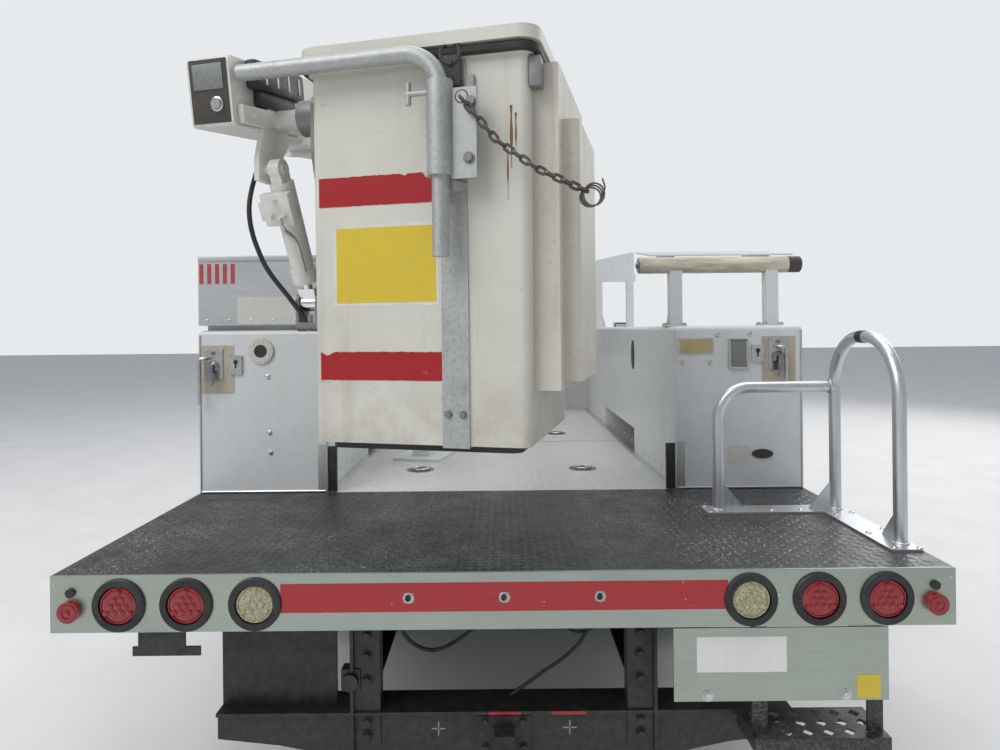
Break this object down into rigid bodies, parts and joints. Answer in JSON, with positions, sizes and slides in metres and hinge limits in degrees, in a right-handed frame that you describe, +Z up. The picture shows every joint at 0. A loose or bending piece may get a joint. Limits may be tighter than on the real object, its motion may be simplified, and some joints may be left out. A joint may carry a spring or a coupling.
{
  "type": "cherry picker truck",
  "caption": "Utility bucket truck with steel side packs, an open parallelogram arm, a telescopic boom with a levelled bucket over its tail, and a step, rack and handrail at the back.",
  "frame": {"origin": "bottom centre of the bounding box, on the ground under the middle of the truck", "axes": "+X to the curb side, +Y to the front, +Z up"},
  "size_m": [2.54, 6.8298, 3.0851],
  "materials": {
    "white_paint": "semi-gloss",
    "frame_paint": "satin",
    "dark_steel": "matte",
    "engine_paint": "matte",
    "glass_pane": "clear",
    "cab_plastic": "matte",
    "tyre_rubber": "matte",
    "black_plastic": "satin",
    "steel_bumper": "semi-gloss",
    "deck_coating": "rough",
    "brushed_aluminium": "brushed",
    "grommet_rubber": "matte",
    "red_lens": "glossy",
    "clear_lens": "glossy",
    "galvanised": "dull",
    "bright_aluminium": "polished",
    "boom_fibreglass": "semi-gloss",
    "bucket_fibreglass": "satin",
    "cylinder_steel": "satin",
    "rod_chrome": "polished",
    "rubber_pad": "matte"
  },
  "bodies": {
    "truck": {"chassis_frame": "frame_paint", "engine_block": "engine_paint", "front_axle": "dark_steel", "rear_axle": "dark_steel", "cab_shell": "white_paint", "cab_glass": "glass_pane", "cab_interior": "cab_plastic", "front_fenders": "white_paint", "grille": "black_plastic", "front_bumper": "steel_bumper", "side_box_left": "white_paint", "side_box_right": "white_paint", "cargo_floor": "brushed_aluminium", "tail_deck": "deck_coating", "tail_board": "brushed_aluminium", "lamp_grommets": "grommet_rubber", "red_lamps": "red_lens", "clear_lamps": "clear_lens", "hitch_beam": "frame_paint", "pintle_hook": "frame_paint", "step_panel": "brushed_aluminium", "rear_step": "galvanised", "handrail": "bright_aluminium", "top_box": "brushed_aluminium", "ladder_rack": "galvanised", "box_latches": "galvanised", "pedestal": "white_paint"},
    "knuckle_left": {"knuckle_left": "dark_steel"},
    "wheel_front_left": {"wheel_front_left": "tyre_rubber"},
    "wheel_rear_left": {"wheel_rear_left": "tyre_rubber"},
    "cab_door_left": {"cab_door_left": "white_paint"},
    "knuckle_right": {"knuckle_right": "dark_steel"},
    "wheel_front_right": {"wheel_front_right": "tyre_rubber"},
    "wheel_rear_right": {"wheel_rear_right": "tyre_rubber"},
    "cab_door_right": {"cab_door_right": "white_paint"},
    "hood": {"hood": "white_paint"},
    "bay_door_rear_left": {"bay_door_rear_left": "white_paint"},
    "bay_door_rear_right": {"bay_door_rear_right": "white_paint"},
    "bay_door_front_left": {"bay_door_front_left": "white_paint"},
    "bay_door_front_right": {"bay_door_front_right": "white_paint"},
    "bay_door_middle_left": {"bay_door_middle_left": "white_paint"},
    "bay_door_middle_right": {"bay_door_middle_right": "white_paint"},
    "turret": {"turret": "white_paint"},
    "lift_arm": {"lift_arm": "white_paint"},
    "level_link": {"level_link": "white_paint"},
    "arm_head": {"arm_head": "white_paint"},
    "outer_boom": {"outer_boom": "boom_fibreglass"},
    "inner_boom": {"inner_boom": "boom_fibreglass"},
    "platform": {"platform_bracket": "galvanised", "bucket": "bucket_fibreglass", "bucket_boxes": "bucket_fibreglass", "bucket_hardware": "galvanised", "bucket_pad": "rubber_pad", "chain": "galvanised"},
    "arm_cylinder_barrel": {"arm_cylinder_barrel": "cylinder_steel"},
    "arm_cylinder_rod": {"arm_cylinder_rod": "rod_chrome"},
    "boom_cylinder_barrel": {"boom_cylinder_barrel": "cylinder_steel"},
    "boom_cylinder_rod": {"boom_cylinder_rod": "rod_chrome"},
    "level_cylinder_barrel": {"level_cylinder_barrel": "cylinder_steel"},
    "level_cylinder_rod": {"level_cylinder_rod": "rod_chrome"}
  },
  "joints": [
    {"name": "steer_left", "type": "hinge", "parent": "truck", "child": "knuckle_left", "pos_m": [-0.735, 2.537, 0.405], "axis": [0, 0, 1], "range_deg": [-32, 32]},
    {"name": "wheel_front_left_spin", "type": "hinge", "parent": "knuckle_left", "child": "wheel_front_left", "pos_m": [-0.9, 2.537, 0.405], "axis": [1, 0, 0], "continuous": true},
    {"name": "wheel_rear_left_spin", "type": "hinge", "parent": "truck", "child": "wheel_rear_left", "pos_m": [-0.9305, -1.044, 0.405], "axis": [1, 0, 0], "continuous": true},
    {"name": "cab_door_left_hinge", "type": "hinge", "parent": "truck", "child": "cab_door_left", "pos_m": [-0.944, 1.542, 1.1], "axis": [0, 0, -1], "range_deg": [0, 65]},
    {"name": "steer_right", "type": "hinge", "parent": "truck", "child": "knuckle_right", "pos_m": [0.735, 2.537, 0.405], "axis": [0, 0, 1], "range_deg": [-32, 32]},
    {"name": "wheel_front_right_spin", "type": "hinge", "parent": "knuckle_right", "child": "wheel_front_right", "pos_m": [0.9, 2.537, 0.405], "axis": [1, 0, 0], "continuous": true},
    {"name": "wheel_rear_right_spin", "type": "hinge", "parent": "truck", "child": "wheel_rear_right", "pos_m": [0.9305, -1.044, 0.405], "axis": [1, 0, 0], "continuous": true},
    {"name": "cab_door_right_hinge", "type": "hinge", "parent": "truck", "child": "cab_door_right", "pos_m": [0.944, 1.542, 1.1], "axis": [0, 0, 1], "range_deg": [0, 65]},
    {"name": "hood_hinge", "type": "hinge", "parent": "truck", "child": "hood", "pos_m": [0, 1.892, 1.395], "axis": [1, 0, 0], "range_deg": [0, 55]},
    {"name": "bay_door_rear_left_hinge", "type": "hinge", "parent": "truck", "child": "bay_door_rear_left", "pos_m": [-1.198, -2.338, 1.14], "axis": [0, 0, 1], "range_deg": [0, 110]},
    {"name": "bay_door_rear_right_hinge", "type": "hinge", "parent": "truck", "child": "bay_door_rear_right", "pos_m": [1.198, -2.338, 1.14], "axis": [0, 0, -1], "range_deg": [0, 110]},
    {"name": "bay_door_front_left_hinge", "type": "hinge", "parent": "truck", "child": "bay_door_front_left", "pos_m": [-1.198, 0.349, 1.14], "axis": [0, 0, -1], "range_deg": [0, 110]},
    {"name": "bay_door_front_right_hinge", "type": "hinge", "parent": "truck", "child": "bay_door_front_right", "pos_m": [1.198, 0.349, 1.14], "axis": [0, 0, 1], "range_deg": [0, 110]},
    {"name": "bay_door_middle_left_hinge", "type": "hinge", "parent": "truck", "child": "bay_door_middle_left", "pos_m": [-1.198, -0.9945, 1.148], "axis": [0, -1, 0], "range_deg": [0, 90]},
    {"name": "bay_door_middle_right_hinge", "type": "hinge", "parent": "truck", "child": "bay_door_middle_right", "pos_m": [1.198, -0.9945, 1.148], "axis": [0, 1, 0], "range_deg": [0, 90]},
    {"name": "turret_slew", "type": "hinge", "parent": "truck", "child": "turret", "pos_m": [0, -0.08, 1.5], "axis": [0, 0, 1], "range_deg": [-320, 0]},
    {"name": "arm_lift", "type": "hinge", "parent": "turret", "child": "lift_arm", "pos_m": [-0.01452, -0.13822, 2.26], "axis": [0.9703, -0.2419, 0], "range_deg": [0, 75]},
    {"name": "link_turn", "type": "hinge", "parent": "turret", "child": "level_link", "pos_m": [-0.05008, -0.28085, 2.423], "axis": [0.9703, -0.2419, 0], "range_deg": [0, 75]},
    {"name": "head_level", "type": "hinge", "parent": "lift_arm", "child": "arm_head", "pos_m": [0.26264, 0.97338, 2.36023], "axis": [0.9703, -0.2419, 0], "range_deg": [-75, 0]},
    {"name": "boom_raise", "type": "hinge", "parent": "arm_head", "child": "outer_boom", "pos_m": [0.26128, 0.96792, 2.94], "axis": [-0.9703, 0.2419, 0], "range_deg": [0, 83]},
    {"name": "boom_extend", "type": "slide", "parent": "outer_boom", "child": "inner_boom", "axis": [-0.2393, -0.9596, -0.1478], "range_m": [0, 2.2]},
    {"name": "platform_level", "type": "hinge", "parent": "inner_boom", "child": "platform", "pos_m": [-0.58925, -3.06337, 2.264], "axis": [0.9703, -0.2419, 0], "range_deg": [0, 83]},
    {"name": "arm_cylinder_turn", "type": "hinge", "parent": "turret", "child": "arm_cylinder_barrel", "pos_m": [0.00484, -0.06059, 1.64], "axis": [0.9703, -0.2419, 0], "range_deg": [0, 35.49]},
    {"name": "arm_cylinder_stroke", "type": "slide", "parent": "arm_cylinder_barrel", "child": "arm_cylinder_rod", "axis": [0.1622, 0.6505, 0.742], "range_m": [0, 0.4297]},
    {"name": "boom_cylinder_turn", "type": "hinge", "parent": "arm_head", "child": "boom_cylinder_barrel", "pos_m": [0.21773, 0.79327, 2.64], "axis": [-0.9703, 0.2419, 0], "range_deg": [0, 79.95]},
    {"name": "boom_cylinder_stroke", "type": "slide", "parent": "boom_cylinder_barrel", "child": "boom_cylinder_rod", "axis": [-0.2418, -0.9698, -0.0307], "range_m": [0, 0.4614]},
    {"name": "level_cylinder_turn", "type": "hinge", "parent": "inner_boom", "child": "level_cylinder_barrel", "pos_m": [-0.6336, -3.11724, 2.105], "axis": [0.9703, -0.2419, 0], "range_deg": [0, 83.87]},
    {"name": "level_cylinder_stroke", "type": "slide", "parent": "level_cylinder_barrel", "child": "level_cylinder_rod", "axis": [0.1054, 0.4228, -0.9001], "range_m": [0, 0.2276]}
  ],
  "couplings": [
    {"joint": "steer_right", "follows": "steer_left", "ratio": 1},
    {"joint": "link_turn", "follows": "arm_lift", "ratio": 1},
    {"joint": "head_level", "follows": "arm_lift", "ratio": -1},
    {"joint": "platform_level", "follows": "boom_raise", "ratio": 1},
    {"joint": "arm_cylinder_turn", "follows": "arm_lift", "ratio": 0.46651},
    {"joint": "arm_cylinder_stroke", "follows": "arm_lift", "m_per_rad": 0.32749},
    {"joint": "boom_cylinder_turn", "follows": "boom_raise", "ratio": 0.95723},
    {"joint": "boom_cylinder_stroke", "follows": "boom_raise", "m_per_rad": 0.31782},
    {"joint": "level_cylinder_turn", "follows": "boom_raise", "ratio": 1.0044},
    {"joint": "level_cylinder_stroke", "follows": "boom_raise", "m_per_rad": 0.15644}
  ]
}
